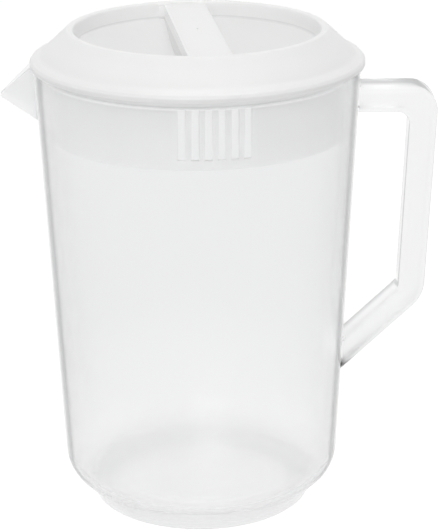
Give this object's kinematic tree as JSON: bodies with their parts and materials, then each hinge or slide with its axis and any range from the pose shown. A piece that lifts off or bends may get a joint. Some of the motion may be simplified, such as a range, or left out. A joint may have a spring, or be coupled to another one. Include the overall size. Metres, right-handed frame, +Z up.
{
  "type": "measuring jug with lid",
  "caption": "Tall tapered plastic jug with a foot ring, an angular bar handle, a beak spout and a push-in lid with a grip bar and strainer slots.",
  "frame": {"origin": "centre of the foot ring on the table, on the jug's axis", "axes": "+Z up along the jug's axis, +X towards the handle, the spout towards -X"},
  "size_m": [0.2169, 0.166, 0.2476],
  "materials": {
    "jug_plastic": "clear, glossy, slightly hazy",
    "lid_plastic": "milky white, satin"
  },
  "bodies": {
    "root": {"jug": "jug_plastic", "lid": "lid_plastic"}
  },
  "joints": []
}
